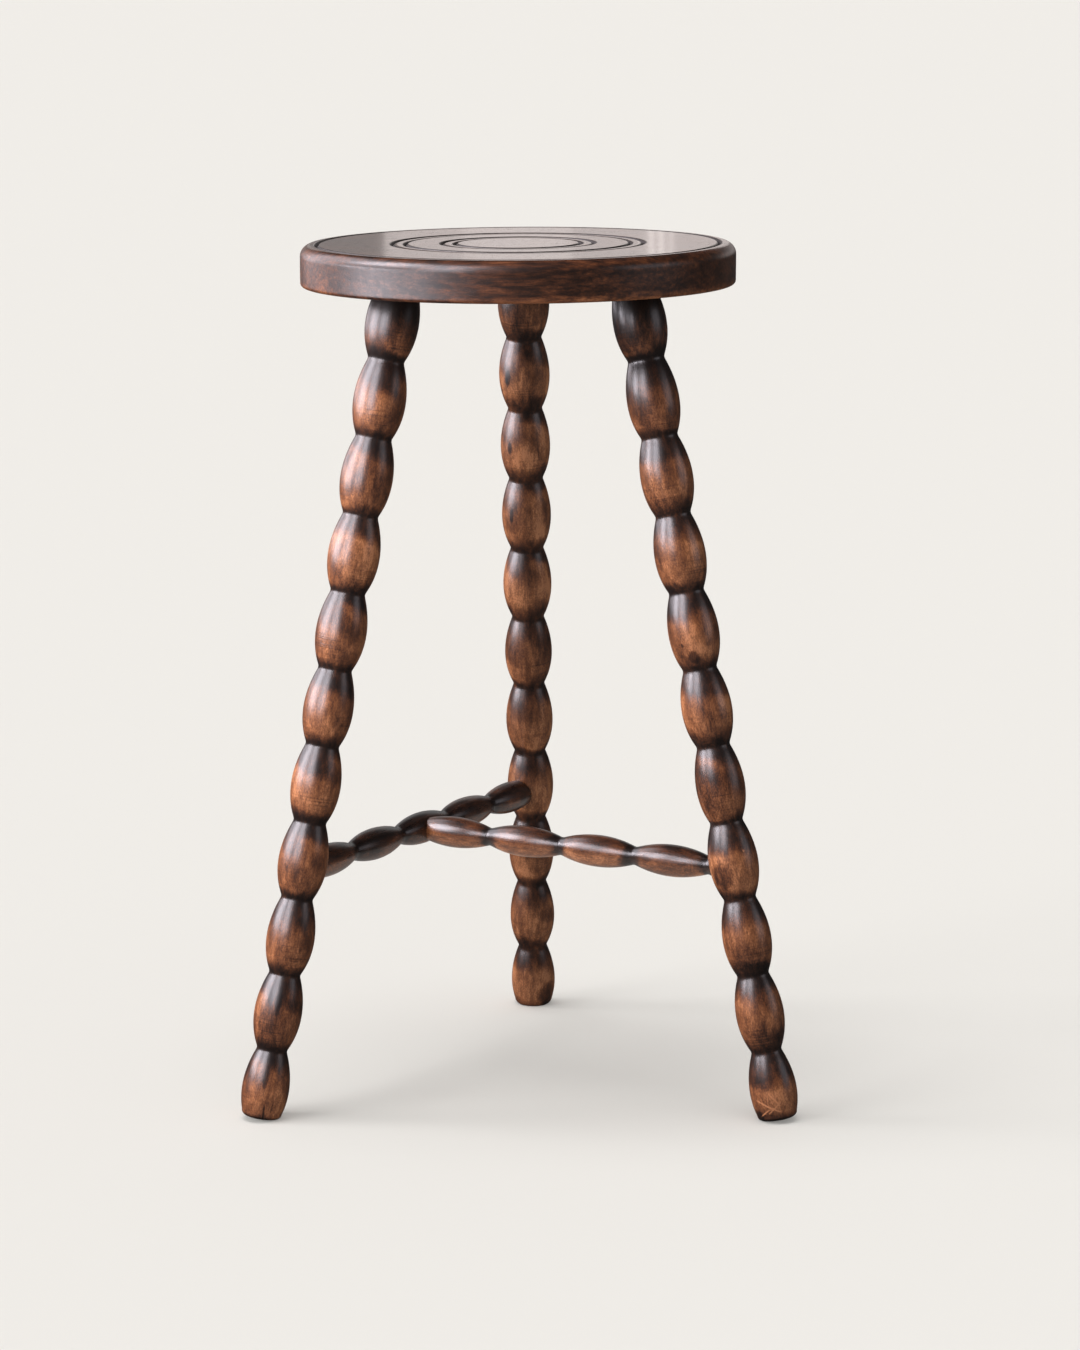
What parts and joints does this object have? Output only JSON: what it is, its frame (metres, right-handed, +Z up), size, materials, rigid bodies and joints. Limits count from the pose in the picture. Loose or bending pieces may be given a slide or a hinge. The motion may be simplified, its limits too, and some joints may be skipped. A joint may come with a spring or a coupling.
{
  "type": "three-legged stool",
  "caption": "Tall round stool with a turned slab seat, splayed bobbin-turned legs and a T of bobbin-turned stretchers, for sitting on or as a plant or side stand.",
  "frame": {"origin": "on the floor, at the centre of the stool's own bounding box; the seat's axis stands 38 mm towards -Y of it, because the rear leg reaches further than the seat", "axes": "+Z up, +Y along the rear leg's splay, +X to the right seen from the front"},
  "size_m": [0.4221, 0.4059, 0.6534],
  "materials": {
    "seat_wood": "dark walnut stain, satin wax polish, browner at the worn edges",
    "leg_wood": "walnut stain rubbed back to red-brown on the beads, near black in the necks, satin",
    "stretcher_wood": "dark walnut stain, red-brown on the beads, satin",
    "wedge_wood": "bare split hardwood",
    "pin_steel": "dull drawn steel"
  },
  "bodies": {
    "root": {"seat": "seat_wood", "leg_rear": "leg_wood", "leg_left": "leg_wood", "leg_right": "leg_wood", "long_stretcher": "stretcher_wood", "short_stretcher": "stretcher_wood", "rear_leg_wedge": "wedge_wood", "left_leg_wedge": "wedge_wood", "right_leg_wedge": "wedge_wood", "left_joint_pin": "pin_steel", "rear_joint_pin": "pin_steel", "right_joint_pin": "pin_steel", "tee_joint_pin": "pin_steel"}
  },
  "joints": []
}
